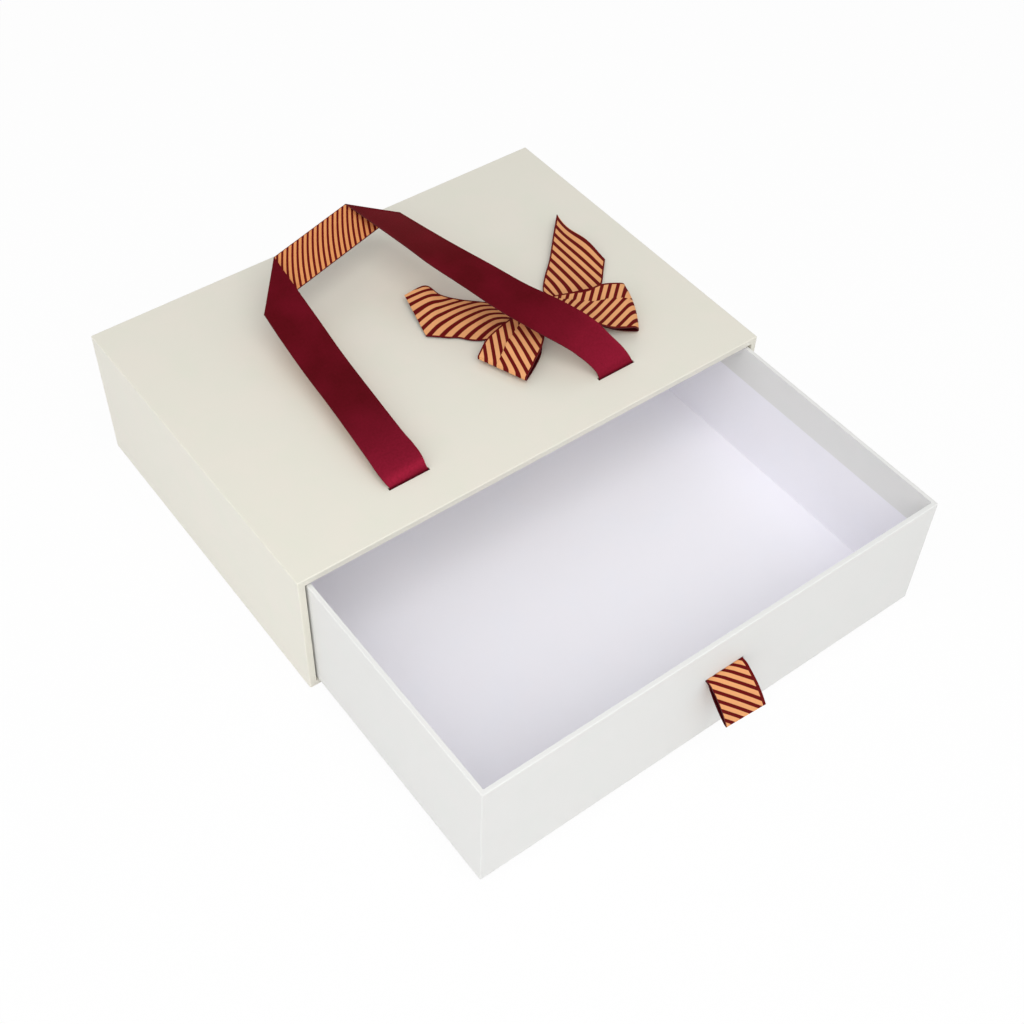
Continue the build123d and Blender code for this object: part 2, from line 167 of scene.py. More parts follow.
# %% Recipes
class Recipe:
    """A material, or a world, while it is being written."""

    def __init__(self, name, world=False):
        self.material = (bpy.data.worlds if world else bpy.data.materials).new(name)
        self.material.use_nodes = True
        self.tree = self.material.node_tree
        self.tree.nodes.clear()

    def node(self, kind, settings=None, inputs=None, output=0):
        made = self.tree.nodes.new("ShaderNode" + kind)
        for name, value in (settings or {}).items():
            setattr(made, name, value)
        for name, value in (inputs or {}).items():
            if isinstance(value, Shade):
                self.tree.links.new(value.socket, made.inputs[name])
            else:
                made.inputs[name].default_value = value
        return Shade(self, made.outputs[output]) if len(made.outputs) else made

    def noise(self, place, scale, detail=2.0, roughness=0.5):
        settings = {"Vector": place, "Scale": scale, "Detail": detail, "Roughness": roughness}
        return self.node("TexNoise", None, settings)

    def mixed(self, share, first, second):
        return self.node("Mix", {"data_type": "RGBA"}, {0: share, 6: first, 7: second}, output=2)

    def bump(self, height, distance, strength):
        settings = {"Height": height, "Distance": distance, "Strength": strength}
        return self.node("Bump", None, settings)

    def finish(self, **sockets):
        named = {name.replace("_", " "): value for name, value in sockets.items()}
        surface = self.node("BsdfPrincipled", None, named)
        self.node("OutputMaterial", None, {"Surface": surface})
        return self.material


print("a recipe's helpers: node, noise, mixed, bump, finish")


# %% Colours
def paint(red, green, blue):
    """A colour given as on a screen, 0 to 255, as the light values that a shader takes."""
    linear = [((c / 255 + 0.055) / 1.055) ** 2.4 for c in (red, green, blue)]
    return (*linear, 1.0)


print("middle grey is this share of the light:", round(paint(128, 128, 128)[0], 3))

# %% [markdown]
# ## Papers
# The sleeve's paper is coated with a pearl pigment: cream, faintly mottled with pink and green,
# and glossy enough to show a blush of the ribbons over it. The drawer's paper is a plain matt
# white. Paper's grain is far too small to model, so it is a bump of fine noise, and the mottle is
# a slow one. Both read Object coordinates, which are metres of the box, so it never stretches.

# %% Paper maker
fibre_scale, grain_scale = 1100, 4200    # cells of noise in a metre
tooth_height = 0.04 * MM


def paper(name, main, tint, counter_tint, roughness, mottle=0.5, tooth=0.35, coat=0.0,
          cloud_size=22):
    """A sheet of paper: a slow mottle of two tints over its main colour, and a fine tooth.

    cloud_size is the mottle's, in millimetres.
    """
    recipe = Recipe(name)
    place = recipe.node("TexCoord", output="Object")
    clouds = recipe.noise(place, 1000 / cloud_size, 3.0)
    counter_clouds = recipe.noise(place, 1300 / cloud_size, 4.0)
    fibres = recipe.noise(place, fibre_scale, 6.0, 0.7)
    grain = recipe.noise(place, grain_scale, 3.0, 0.6)
    colour = recipe.mixed(clouds.above(0.42, gain=5) * mottle, main, tint)
    colour = recipe.mixed(counter_clouds.above(0.5, gain=5) * mottle, colour, counter_tint)
    height = grain * 0.6 + fibres * 0.4
    return recipe.finish(
        Base_Color=colour,
        Roughness=(grain - 0.5) * 0.16 + roughness,
        Coat_Weight=coat,
        Coat_Roughness=0.22,
        Normal=recipe.bump(height, tooth_height, tooth))


print(f"paper's tooth: {tooth_height / MM:.2f} mm high, {1000 / grain_scale:.2f} mm apart")

# %% Papers
pearl_paper = paper(
    "pearl_paper", paint(229, 226, 213), paint(232, 226, 214), paint(226, 226, 211),
    roughness=0.4, coat=0.22)
white_paper = paper(
    "white_paper", paint(229, 229, 227), paint(230, 229, 227), paint(227, 229, 226),
    roughness=0.58)
lining_paper = paper(
    "lining_paper", paint(246, 245, 251), paint(247, 245, 251), paint(245, 245, 252),
    roughness=0.62)
# A kraft lining inside the sleeve, made dark so that the gap between sleeve and drawer shows as shade: partly the
# lining's colour, partly painted shade.
sleeve_lining = paper(
    "sleeve_lining_kraft_painted_shade", paint(142, 134, 104), paint(150, 139, 108), paint(134, 129, 101),
    roughness=0.75)
stay_paper = paper(
    "stay_paper", paint(216, 211, 196), paint(222, 214, 196), paint(208, 206, 190),
    roughness=0.7, mottle=0.8)
grey_board = paper(
    "grey_board", paint(150, 146, 136), paint(168, 162, 148), paint(128, 126, 120),
    roughness=0.85, mottle=0.9, tooth=0.8, cloud_size=3)

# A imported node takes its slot's finish, unless it has one of its own.
node_finish = {"sleeve_lining": sleeve_lining, "pull_patch": white_paper}
slot_finish = {
    "pearl_paper": pearl_paper,
    "white_paper": white_paper,
    "lining_paper": lining_paper,
    "stay_paper": stay_paper,
    "grey_board": grey_board,
}
print("papers and board:", ", ".join(slot_finish))

# %% [markdown]
# ## Ribbons' cloth
# The ribbon is woven with two faces. One is a plain burgundy satin, and the other has
# diagonal orange stripes between burgundy ones, inside a plain burgundy edge on each side. A
# pattern that follows cloth needs the cloth's own measure, so the stripes read a UV map that holds
# millimetres: U across the ribbon and V along it.

# %% Ribbon cloth
RIBBON_MAP = "ribbon_mm"
thread_pitch = 0.42      # mm, between the crosswise ribs
warp_pitch = 0.6 * thread_pitch      # between the finer threads along the ribbon
thread_height = 0.06 * MM
edge_loop_height = 0.08 * MM
stripe_pitch = 3.15      # mm, square to the stripes
stripe_share = 0.45      # of the pitch is dark
stripe_wobble = 0.03     # of the pitch, in a stripe's width
stripe_sharpness = 22    # how fast dark gives way to light, in one pitch
edge_sharpness = 8       # the same at the plain edges, in a millimetre
burgundy = paint(110, 18, 34)
burgundy_deep = paint(82, 13, 19)
# painted sheen: a brighter burgundy mixed into the satin near the handle's slots
painted_sheen_burgundy = paint(134, 26, 48)
stripe_dark = paint(100, 13, 14)
orange = paint(228, 154, 96)
orange_deep = paint(220, 142, 88)
orange_pale = paint(231, 168, 116)
thread_gloss = paint(235, 60, 95)    # satin threads colour what they reflect


def threads_at(place_mm, pitch):
    """Threads side by side, as a height from 0 to 1."""
    return (place_mm * (2 * pi / pitch)).wave() * 0.5 + 0.5


def weave(across_mm, along_mm):
    """Crosswise ribs with a finer warp between them, as a height from 0 to 1."""
    warp = threads_at(across_mm, warp_pitch)
    return threads_at(along_mm, thread_pitch) * 0.7 + warp * 0.3


def ribbon_place(recipe):
    """The cloth's own place: the map itself, millimetres across and millimetres along."""
    flat = recipe.node("UVMap", {"uv_map": RIBBON_MAP})
    across_mm = recipe.node("SeparateXYZ", None, {"Vector": flat}, output="X")
    along_mm = recipe.node("SeparateXYZ", None, {"Vector": flat}, output="Y")
    return flat, across_mm, along_mm


print(f"cloth: {1 / thread_pitch:.1f} ribs and {1 / stripe_pitch:.2f} stripes in a millimetre")


# %% Satin face
def satin(name, painted_sheen_places=(), painted_sheen_reach=45.0):
    """The plain burgundy face, a little streaky along the ribbon.

    Near each of the places given, in millimetres along the ribbon, a painted sheen makes its colour brighter,
    where the bent ribbon would catch the light.
    """
    recipe = Recipe(name)
    flat, across_mm, along_mm = ribbon_place(recipe)
    stretched = recipe.node("Mapping", None, {"Vector": flat, "Scale": (3.0, 0.35, 1.0)})
    streaks = recipe.noise(stretched, 1.0, 3.0, 0.6)
    clouds = recipe.noise(flat, 0.045, 2.0)
    slubs = recipe.noise(flat, 0.9, 3.0, 0.7)
    threads = weave(across_mm, along_mm)
    share = clouds.above(0.4, gain=2.4) * 0.7 + streaks * 0.3 + (slubs - 0.5) * 0.9
    colour = recipe.mixed(share.limited(), burgundy_deep, burgundy)
    # painted sheen: near each given place the colour is mixed towards a brighter burgundy
    for painted_sheen_place in painted_sheen_places:
        nearness = (1 - (along_mm - painted_sheen_place).size() / painted_sheen_reach).limited()
        colour = recipe.mixed(nearness * (slubs * 1.2 + 0.3).limited(), colour, painted_sheen_burgundy)
    return recipe.finish(
        Base_Color=colour,
        Metallic=0.55,
        Roughness=streaks * 0.1 + 0.36,
        Specular_IOR_Level=0.08,
        Specular_Tint=thread_gloss,
        Normal=recipe.bump(threads, thread_height, 0.35))


satin_face = satin("burgundy_satin")
print("made", satin_face.name)


# %% Striped face
def striped(name, width, slant, offset, pitch=stripe_pitch, edge_left=0.7, edge_right=0.7,
            bend=0.0, paler=0.0):
    """The striped face. slant is the stripes' angle to the ribbon's crosswise line, in degrees.

    bend is how far a stripe's middle is pulled along the ribbon, in millimetres, and paler how far
    the orange goes towards its pale tint.
    """
    recipe = Recipe(name)
    flat, across_mm, along_mm = ribbon_place(recipe)
    square_to_stripe = along_mm * cos(radians(slant)) - across_mm * sin(radians(slant))
    if bend:
        square_to_stripe = square_to_stripe + (across_mm * (pi / width)).wave() * bend
    phase = (square_to_stripe / pitch + offset).fraction()
    wobble = recipe.noise(flat, 2.2, 2.0)
    from_middle = (phase - 0.5).size() + (wobble - 0.5) * stripe_wobble
    dark = (stripe_share / 2 - from_middle).positive(stripe_sharpness)
    near_left = (edge_left - across_mm).positive(edge_sharpness)
    near_right = (across_mm - (width - edge_right)).positive(edge_sharpness)
    dark = dark.larger(near_left).larger(near_right)
    fade = recipe.noise(flat, 0.3, 3.0)
    light = recipe.mixed(fade.above(0.4, gain=3) * (0.7 - 0.4 * paler), orange, orange_deep)
    light = recipe.mixed(0.8 * paler, light, orange_pale)
    threads = weave(across_mm, along_mm)
    return recipe.finish(
        Base_Color=recipe.mixed(dark, light, stripe_dark),
        Roughness=threads * 0.1 + 0.6,
        Specular_IOR_Level=0.07,
        Normal=recipe.bump(threads, thread_height, 0.4))


dark_width = stripe_pitch * stripe_share
print(f"stripes: {dark_width:.2f} mm dark, {stripe_pitch - dark_width:.2f} mm light")


# %% Selvedge
def selvedge(name):
    """The ribbon's thin edge: darker, matt, with the weft's loops along it."""
    recipe = Recipe(name)
    *_, along_mm = ribbon_place(recipe)
    weft_loops = threads_at(along_mm, thread_pitch)
    return recipe.finish(
        Base_Color=recipe.mixed(weft_loops * 0.5, paint(74, 9, 18), paint(92, 13, 24)),
        Roughness=0.7,
        Normal=recipe.bump(weft_loops, edge_loop_height, 0.5))


ribbon_edge = selvedge("ribbon_edge")
print("made", ribbon_edge.name)

# %% [markdown]
# ## A ribbon from its two edges
# A ribbon bends and folds but doesn't stretch, so its two edges say nearly all of its shape. Each
# row here is a point on the left edge and one on the right. A few rows are chosen, and a smooth
# curve through each edge gives the ones between. A Bezier curve could do it, but it needs two
# handles at every point. A Catmull-Rom curve needs none, and each row stays where it was put.

# %% Rows
def smooth(points, steps):
    """A curve through the points (Catmull-Rom), with that many steps between two of them."""
    ends = [points[0] * 2 - points[1], *points, points[-1] * 2 - points[-2]]
    curve = []
    for before, start, end, after in zip(ends, ends[1:], ends[2:], ends[3:]):
        for step in range(steps):
            t = step / steps
            curve.append(0.5 * (start * 2 + (end - before) * t
                                + (before * 2 - start * 5 + end * 4 - after) * t * t
                                + (start * 3 - before - end * 3 + after) * t * t * t))
    return curve + [points[-1]]


def smooth_rows(rows, steps):
    """Rows of (left, right), or of (left, right, pleat), with more rows between them."""
    columns = [smooth(list(column), steps) for column in zip(*rows)]
    return list(zip(*columns))


def run_lengths(points):
    lengths = [0.0]
    for before, after in zip(points, points[1:]):
        lengths.append(lengths[-1] + (after - before).length)
    return lengths


quarter = [Vector((cos(radians(turn)), sin(radians(turn)))) for turn in (0, 30, 60, 90)]
print(f"a quarter circle is {run_lengths(smooth(quarter, 8))[-1]:.3f} long, and should be 1.571")

# %% [markdown]
# ## Pleats
# Where the bow is pinched, 25 mm of ribbon has to pass in 10. It doesn't shrink: it takes a
# pleat, whose two hidden layers lie under the visible one and fade out away from the knot. That
# is why the stripes break along a line there. A pleat could be painted, but the step and its
# shadow are real, so each row is laid out as four stretches: front, back under, forward under,
# and rear.

# %% Row layout
edge_shares = (0.0, 0.02, 0.06)      # points close together make the woven edge
layer_step = 0.55        # mm, from one layer of a pleat to the next
least_tuck = 0.3         # mm of cloth in each hidden layer, even where it is flat
full_turn_depth = 0.8    # mm, the pleat at which the hidden layers lie right back
pleat_column = 9         # the point of a pleated row where its front panel ends


def plain_row(count=12):
    """(flat share, place share, stand-off) for each point across a ribbon with no pleat."""
    low = list(edge_shares)
    inside = 1 - 2 * low[-1]
    middle = [low[-1] + inside * index / count for index in range(1, count)]
    return [(share, share, 0.0) for share in low + middle + [1 - share for share in low[::-1]]]


def eased(part):
    """0 below 0, 1 above 1, and a smooth step between."""
    part = min(max(part, 0), 1)
    return part * part * (3 - 2 * part)


def pleated_row(width, depth, crease):
    """The same for a row with a pleat that many millimetres deep, which starts at a flat share."""
    tuck = max(depth, least_tuck) / width
    turned = eased(depth / full_turn_depth)
    back = 1 - 2 * turned
    shown = 1 - tuck * (1 - back)
    rise = layer_step * turned
    front_end = (crease - tuck) / shown
    under_end = front_end + tuck * back / shown
    points = []
    for share in (*edge_shares, *((crease - tuck) * part / 8 for part in range(2, 9))):
        points.append((share, share / shown, 2 * rise))
    for part in (1, 2, 3, 4):
        place = front_end + (under_end - front_end) * part / 4
        points.append((crease - tuck + tuck * part / 4, place, 2 * rise - rise * min(part, 2) / 2))
    for part in (1, 2, 3, 4):
        place = under_end + tuck * part / 4 / shown
        points.append((crease + tuck * part / 4, place, rise - rise * min(part, 2) / 2))
    for part in (*range(1, 8), 7.55, 7.85, 8):
        share = crease + tuck + (1 - crease - tuck) * part / 8
        points.append((share, 1 - (1 - share) / shown, 0.0))
    return points


print(f"points across a ribbon: {len(plain_row())} plain, {len(pleated_row(25, 7, 0.6))} pleated")

# %% [markdown]
# ## Where each point lies on the flat cloth
# The UV map holds each point's place on the flat ribbon. A row that slants across the ribbon has
# to be a slanted line on the cloth as well, or its stripes would bend. On the handle and the
# pull, the ribbon's own run says how much a row slants.

# %% Flat places
def flat_places(rows, layouts, width):
    """The (across, along) of every point, in millimetres, and the ribbon's whole length."""
    middles = [(row[0] + row[1]) / 2 for row in rows]
    runs = run_lengths(middles)
    last = len(rows) - 1
    places = []
    for index, (row, layout) in enumerate(zip(rows, layouts)):
        heading = (middles[min(index + 1, last)] - middles[max(index - 1, 0)]).normalized()
        slant = (row[1] - row[0]).dot(heading)
        places.append([(share * width, runs[index] + slant * (share - 0.5))
                       for share, *_ in layout])
    return places, runs[-1]


test_rows = [(Vector((0, y, 0)), Vector((10, y, 0))) for y in (0, 5)]
print("a straight ribbon's length:", flat_places(test_rows, [plain_row()] * 2, 10)[1])

# %% [markdown]
# ## From rows to cloth
# A grid primitive gives the cloth, with one row of faces for each pair of rows, and its points
# are moved onto the rows. Solidify then gives it its thickness, more at the woven edges, and its
# two faces and its edge. A plane could be subdivided instead, but a grid starts with the right
# number of points each way, in an order that is easy to follow.

# %% Ribbon maker
ribbon_thickness = 0.45
edge_strip = 0.04        # of the width, where the cloth has its full thickness
inner_thickness = 0.75   # of that, everywhere else
smooth_below = radians(50)


def make_ribbon(name, rows, width, faces, crease=None, flat_map=flat_places, bulge=None):
    """A ribbon on rows of (left, right) in millimetres. faces: its front and back cloth.

    crease is the flat share at a pleat's hidden fold, and then each row also gives its pleat.
    bulge(row share, column share) gives how far a point stands off its row.
    """
    if crease is None:
        layouts = [plain_row() for row in rows]
    else:
        layouts = [pleated_row(width, row[2], crease) for row in rows]
    flat, length = flat_map(rows, layouts, width)
    count = len(layouts[0])
    bpy.ops.object.select_all(action="DESELECT")
    bpy.ops.mesh.primitive_grid_add(x_subdivisions=count - 1, y_subdivisions=len(rows) - 1, size=1)
    piece = bpy.context.object
    piece.name = name
    mesh = piece.data
    mesh.name = name
    middles = [(row[0] + row[1]) / 2 for row in rows]
    last = len(rows) - 1
    thick = piece.vertex_groups.new(name="thick")
    for index, (row, layout) in enumerate(zip(rows, layouts)):
        left, right = row[:2]
        along = middles[min(index + 1, last)] - middles[max(index - 1, 0)]
        normal = (right - left).cross(along).normalized()
        for column, (flat_share, place_share, stand_off) in enumerate(layout):
            if bulge:
                stand_off += bulge(index / last, flat_share)
            point = left.lerp(right, place_share) - normal * stand_off
            vertex = mesh.vertices[index * count + column]
            vertex.co = point * MM
            near_edge = min(flat_share, 1 - flat_share) < edge_strip
            thick.add([vertex.index], 1.0 if near_edge else inner_thickness, "REPLACE")
    layer = mesh.uv_layers[0]
    layer.name = RIBBON_MAP
    for loop in mesh.loops:
        layer.data[loop.index].uv = flat[loop.vertex_index // count][loop.vertex_index % count]
    solid = piece.modifiers.new("cloth_thickness", "SOLIDIFY")
    solid.thickness = ribbon_thickness * MM
    solid.offset = 0
    solid.vertex_group = "thick"
    solid.material_offset = 1
    solid.material_offset_rim = 2
    for material in (*faces, ribbon_edge):
        mesh.materials.append(material)
    bpy.ops.object.modifier_apply(modifier=solid.name)
    bpy.ops.object.shade_smooth_by_angle(angle=smooth_below)
    print(f"{name}: {width:.1f} x {length:.1f} mm, {len(mesh.polygons)} faces")
    return piece, length


print(f"ribbon: {ribbon_thickness} mm thick, {ribbon_thickness * inner_thickness:.2f} inside")


# %% Folds
def half_turn(left, right, normal, outward, gap, slide=0.0, steps=10):
    """Rows of a fold, from the layer on top to the one underneath. outward is the way it bulges.

    In a diagonal fold the cloth also moves along the crease as it turns, by slide for each
    millimetre of turn.
    """
    crease = (right - left).normalized()
    rows = []
    for step in range(steps + 1):
        angle = pi * step / steps
        shift = (normal * (cos(angle) - 1) + outward * sin(angle)) * (gap / 2)
        shift += crease * (slide * angle * gap / 2)
        rows.append((left + shift, right + shift))
    return rows


test_fold = half_turn(
    Vector((0, 0, 0)), Vector((1, 0, 0)), Vector((0, 0, 1)), Vector((0, 1, 0)), gap=1.0)
print(f"a fold of {len(test_fold)} rows bulges {max(row[0].y for row in test_fold)} of its gap")

# %% [markdown]
# ## Handle
# One 19 mm ribbon comes up through a slot in the lid, runs back over it, folds over on the
# diagonal so that its striped face shows, crosses, folds back and comes down to the second slot.
# Cloth simulation wouldn't find these two creases, so the rows are listed one by one. Where a leg
# bends out of its slot, both of its edges are given. Further on, a station is the ribbon's middle
# over the lid and the turn of its crosswise line, as in the imported solid.

# %% Handle's places
handle_width = 19.0
fold_gap = 1.2           # between the two layers of a diagonal fold
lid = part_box("sleeve_wrap")[1].z / MM
end_low, end_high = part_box("handle_end_left")
slot_y = end_low.y / MM + ribbon_thickness / 2
under_lid = end_low.z / MM + ribbon_thickness / 2
tab_end = end_high.y / MM
slot_x = {}
for side in ("left", "right"):
    low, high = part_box(f"handle_end_{side}")
    slot_x[side] = (low.x + high.x) / 2 / MM
print("slots, mm:", {side: round(x, 2) for side, x in slot_x.items()}, "at y", round(slot_y, 2))

# %% Handle's stations
# From the glued end up to the slot: distance behind the slot, height over the glued end.
under_bend = [(12, 0), (1.6, 0), (0.25, 0.5), (0, 2.0)]
slot_clear = 0.3         # height over the lid at which the ribbon leaves its slot
# The legs' first bends, edge by edge: x, distance behind the slot, height over the lid.
left_bend = [
    ((-64.2, 0.1, 1.0), (-45.5, 0.1, 1.4)),
    ((-64.8, 1.5, 2.1), (-45.8, 0.8, 2.8)),
    ((-65.2, 4.2, 3.2), (-45.5, 2.8, 4.4)),
    ((-65.2, 8.5, 4.2), (-45.1, 6.6, 5.4)),
    ((-64.9, 13.8, 5.3), (-44.9, 11.8, 6.0)),
    ((-64.6, 20.4, 6.5), (-45.0, 18.6, 6.8)),
]
right_bend = [
    ((44.8, 0.3, 1.6), (63.2, 0.3, 1.7)),
    ((44.1, 1.7, 3.9), (62.4, 1.6, 4.1)),
    ((42.4, 4.6, 6.8), (61.0, 5.0, 7.3)),
    ((39.9, 8.6, 9.7), (58.7, 9.6, 10.8)),
]
# Further on: x, distance behind the slot, height over the lid, yaw and roll in degrees.
left_stations = [
    (-53.3, 43.5, 8.8, -6, 2),
    (-51.9, 67.4, 10.8, -5, 4),
    (-51.2, 87.0, 15.2, -4, 6),
]
right_stations = [
    (45.2, 15.8, 15.2, 12, 12),
    (39.2, 30.0, 17.8, 13, 15),
    (32.6, 47.0, 19.6, 12, 7),
    (27.4, 64.2, 21.6, 12, 1),
    (22.0, 83.5, 23.1, 13, -5),
    (18.9, 99.5, 23.6, 16, -11),
]
# The creases' ends: x, y and height over the lid, each outer corner first.
left_crease = [Vector((-60.2, 34.0, 17.6 + lid)), Vector((-40.8, 56.6, 24.9 + lid))]
right_crease = [Vector((3.5, 67.2, 27.6 + lid)), Vector((24.0, 54.3, 21.9 + lid))]
creases = [round((inner - outer).length, 1) for outer, inner in (left_crease, right_crease)]
print(f"creases, mm: {creases}, and a diagonal is {handle_width / cos(radians(45)):.1f}")


# %% Legs
def leg_rows(side, bend, stations):
    """From the glued end under the lid, up through the slot and along the leg."""
    half = Vector((handle_width / 2, 0, 0))
    under = [(tab_end, under_lid)]
    under += [(slot_y + behind, under_lid + height) for behind, height in under_bend]
    under += [(slot_y, lid + slot_clear)]
    rows = []
    for y, z in under:
        middle = Vector((slot_x[side], y, z))
        rows.append((middle - half, middle + half))
    for edges in bend:
        rows.append(tuple(Vector((x, slot_y + behind, height + lid))
                          for x, behind, height in edges))
    for x, behind, height, yaw, tilt in stations:
        yaw, tilt = radians(yaw), radians(tilt)
        turn = Vector((cos(yaw) * cos(tilt), sin(yaw) * cos(tilt), sin(tilt)))
        middle = Vector((x, slot_y + behind, height + lid))
        rows.append((middle - turn * handle_width / 2, middle + turn * handle_width / 2))
    return rows


leg_steps = 10           # rows from one station to the next
first_leg = leg_rows("left", left_bend, left_stations) + [tuple(left_crease)]
first_leg = smooth_rows(first_leg, leg_steps)[:-1]
second_leg = leg_rows("right", right_bend, right_stations) + [tuple(right_crease)]
second_leg = smooth_rows(second_leg, leg_steps)[:-1]
print("rows in the legs:", len(first_leg), len(second_leg))

# %% Creases and cross piece
corner_a, corner_b = left_crease
corner_d, corner_f = right_crease
up_from_cross = (corner_b - corner_a).cross(corner_a - corner_f).normalized()
up_from_cross *= 1 if up_from_cross.z > 0 else -1
outward_left = (corner_b - corner_a).cross(up_from_cross).normalized()
outward_left *= -1 if outward_left.dot(corner_f - corner_a) > 0 else 1
outward_right = (corner_f - corner_d).cross(up_from_cross).normalized()
outward_right *= -1 if outward_right.dot(corner_a - corner_d) > 0 else 1

first_fold = half_turn(corner_a, corner_b, up_from_cross, outward_left, fold_gap, slide=1.3)
second_fold = half_turn(corner_f, corner_d, up_from_cross, outward_right, fold_gap, slide=0.9)
cross_steps = 24
cross = []
for step in range(1, cross_steps):
    share = step / cross_steps
    cross.append((first_fold[-1][0].lerp(second_fold[-1][0], share),
                  first_fold[-1][1].lerp(second_fold[-1][1], share)))
print("rows in a fold and across:", len(first_fold), len(cross))

# %% Handle
handle_rows = (first_leg + first_fold + cross + second_fold[::-1]
               + [(right, left) for left, right in reversed(second_leg)])
handle_stripes = striped("handle_stripes", handle_width, slant=41, offset=0.0, pitch=2.4,
                         edge_left=0.25, edge_right=0.25, bend=0.7)
whole_run = run_lengths([(left + right) / 2 for left, right in handle_rows])[-1]
slot_bend = 3            # mm of ribbon from its glued end to the middle of the bend at its slot
hidden_run = tab_end - slot_y + slot_bend
# The handle's satin gets a painted sheen centred on the bend at each slot.
handle_satin_painted_sheen = satin("handle_satin_painted_sheen", (hidden_run, whole_run - hidden_run))
handle, handle_length = make_ribbon(
    "handle", handle_rows, handle_width, (handle_satin_painted_sheen, handle_stripes))

# %% [markdown]
# ## Bow
# The bow is made as a shop makes it: one strip for the two tails, one strip whose ends meet in
# the middle for the two loops, and a short band round both. Tails and loops are gathered there,
# so their rows draw in to 10 mm and the cloth is pleated. The rows are written from the bow's
# middle: x, y and height over the lid, first for the edge nearer the box's front, then the
# other, then how deep the pleat is there, in millimetres. Rows of the tails also give the cloth's
# heading, in degrees seen from above.

# %% Bow's middle
bow_width = 25.0
bow_middle = Vector((52.0, -20.0, lid))
pinch = 5.0              # mm, half the width of the gathered cloth
knot_reach = 4           # mm from the middle to each side of the knot
pinched_pleat = 7.0      # mm deep, at the knot
bow_crease = 0.62        # of the width, at the pleat's hidden fold


def gathered(side, height):
    """The row at the left (-1) or right (1) side of the knot, that high over the lid."""
    return (side * knot_reach, -pinch, height), (side * knot_reach, pinch, height), pinched_pleat


def bow_rows(table):
    return [(bow_middle + Vector(low), bow_middle + Vector(high), *rest)
            for low, high, *rest in table]


print(f"{bow_width} mm of ribbon is gathered to {2 * pinch} mm")

# %% Tails' stations
left_tail = [
    ((-53, 19, 1.0), (-47.3, 44.1, 4.0), 0, -47),
    ((-49, 15.5, 1.0), (-37.6, 41.7, 6.6), 0, -47),
    ((-45.5, 12.5, 0.9), (-34.3, 34.6, 4.6), 0, -45),
    ((-42, 10, 0.9), (-28, 27.8, 3.4), 0, -45),
    ((-35, 3, 0.9), (-18, 20, 2.0), 0, -42),
    ((-18, -3, 1.3), (-10, 10, 1.3), 0.4, -34),
]
right_tail = [
    ((17, -4, 1.3), (7.5, 13, 1.3), 0.6, 36),
    ((26, -3, 0.9), (13, 19, 2.4), 0, 44),
    ((33, 1.7, 0.9), (22.5, 27.5, 2.8), 0, 45),
    ((38.5, 7.3, 1.1), (33.5, 39, 3.4), 0, 45),
    ((44.5, 13.5, 1.4), (44.4, 50, 4.0), 0, 45),
]
print("stations in the tails:", len(left_tail), len(right_tail))

# %% Loops' stations
left_loop = [
    ((-12, -12, 2.0), (-12, 5, 2.0), 1),
    ((-20, -21, 1.9), (-29, 2.5, 2.0), 0),
    ((-33, -29, 1.9), (-42, -6, 2.0), 0),
    ((-34.6, -29.8, 3.4), (-43.6, -6.8, 3.6), 0),
    ((-33.2, -29.2, 4.8), (-42.2, -6.2, 5.0), 0),
    ((-28, -26.6, 6.2), (-36.2, -2.6, 6.0), 0.4),
    ((-21, -22.5, 7.2), (-28.5, -0.2, 6.6), 2.4),
    ((-14, -16, 7.2), (-17.5, 2.0, 6.8), 5.0),
]
right_loop = [
    ((7, -19, 6.0), (12.5, 0, 6.8), 5.0),
    ((13.5, -27.4, 4.6), (19.5, -3.2, 7.0), 3.6),
    ((18.8, -30.8, 4.1), (27.1, -4.2, 7.5), 2.0),
    ((23.6, -32.9, 3.5), (34.6, -8.3, 7.4), 0.6),
    ((25.2, -33.4, 2.7), (36.7, -9.1, 5.9), 0),
    ((23.8, -32.6, 1.8), (35.4, -7.5, 3.6), 0),
    ((16, -24.5, 1.6), (27, 0.5, 2.0), 0),
    ((10, -11, 2.0), (12, 5, 2.0), 1),
]
tail_height, loop_low, loop_high = 1.3, 2.0, 4.6     # over the lid, inside the knot
print("stations in the loops:", len(left_loop), len(right_loop))

# %% [markdown]
# ## The bow's stripes
# Where a tail lies flat, its stripes are straight at 45 degrees to its heading. Its cut end isn't
# as wide as the ribbon, so the cloth's measure stops short there. The left tail is twisted a
# little, so its stripes run level and droop both ways from a top. A loop's pleat turns the cloth
# behind it, so its stripes head one way before the pleat and another way behind. The stripes
# could be left to the flat map of the handle, but then each small error of a row would bend
# them. So a point on a dark stripe says where they lie, and the along value is worked back.

# %% Left tail's stripes
bow_pitch, bow_offset, bow_slant = 4.15, 0.2, 45
dark_middle = (0.5 - bow_offset) * bow_pitch     # square to the stripes, from the pattern's start
top_x, top_y = -29.0, 17.8       # the top of a dark stripe, from the bow's middle
top_shift = 1.2                  # mm that the tops move to the left for each mm to the rear
droop_left, droop_right = 0.6, 1.2   # mm that a stripe has dropped 10 mm from its top
gather_x, gather_droop = -24, 0.06   # right of this x it drops faster, towards the knot
corner_y, corner_spread = 31, 0.4    # behind this y the tail curls up, and its stripes spread
tail_tightness = 1.15            # it leans, so from above its stripes look closer together


def drooping_stripes(x, y):
    """Millimetres square to the left tail's stripes, from the pattern's start."""
    from_top = (x - top_x + top_shift * (y - top_y)) / 10
    droop = from_top ** 2 * (droop_right if from_top > 0 else droop_left)
    droop += gather_droop * max(0, x - gather_x) ** 2
    spread = corner_spread * max(0, y - corner_y)
    return (top_y - droop - y) * tail_tightness + spread + dark_middle


print(f"the left tail's stripes are {bow_pitch / tail_tightness:.2f} mm apart from above")

# %% Flat map of the tails
cut_rows = 8                     # rows near a cut end, where the tail isn't as wide as the ribbon
left_rows, knot_rows = 38, 8     # the left tail's rows, then those where the knot hides a change


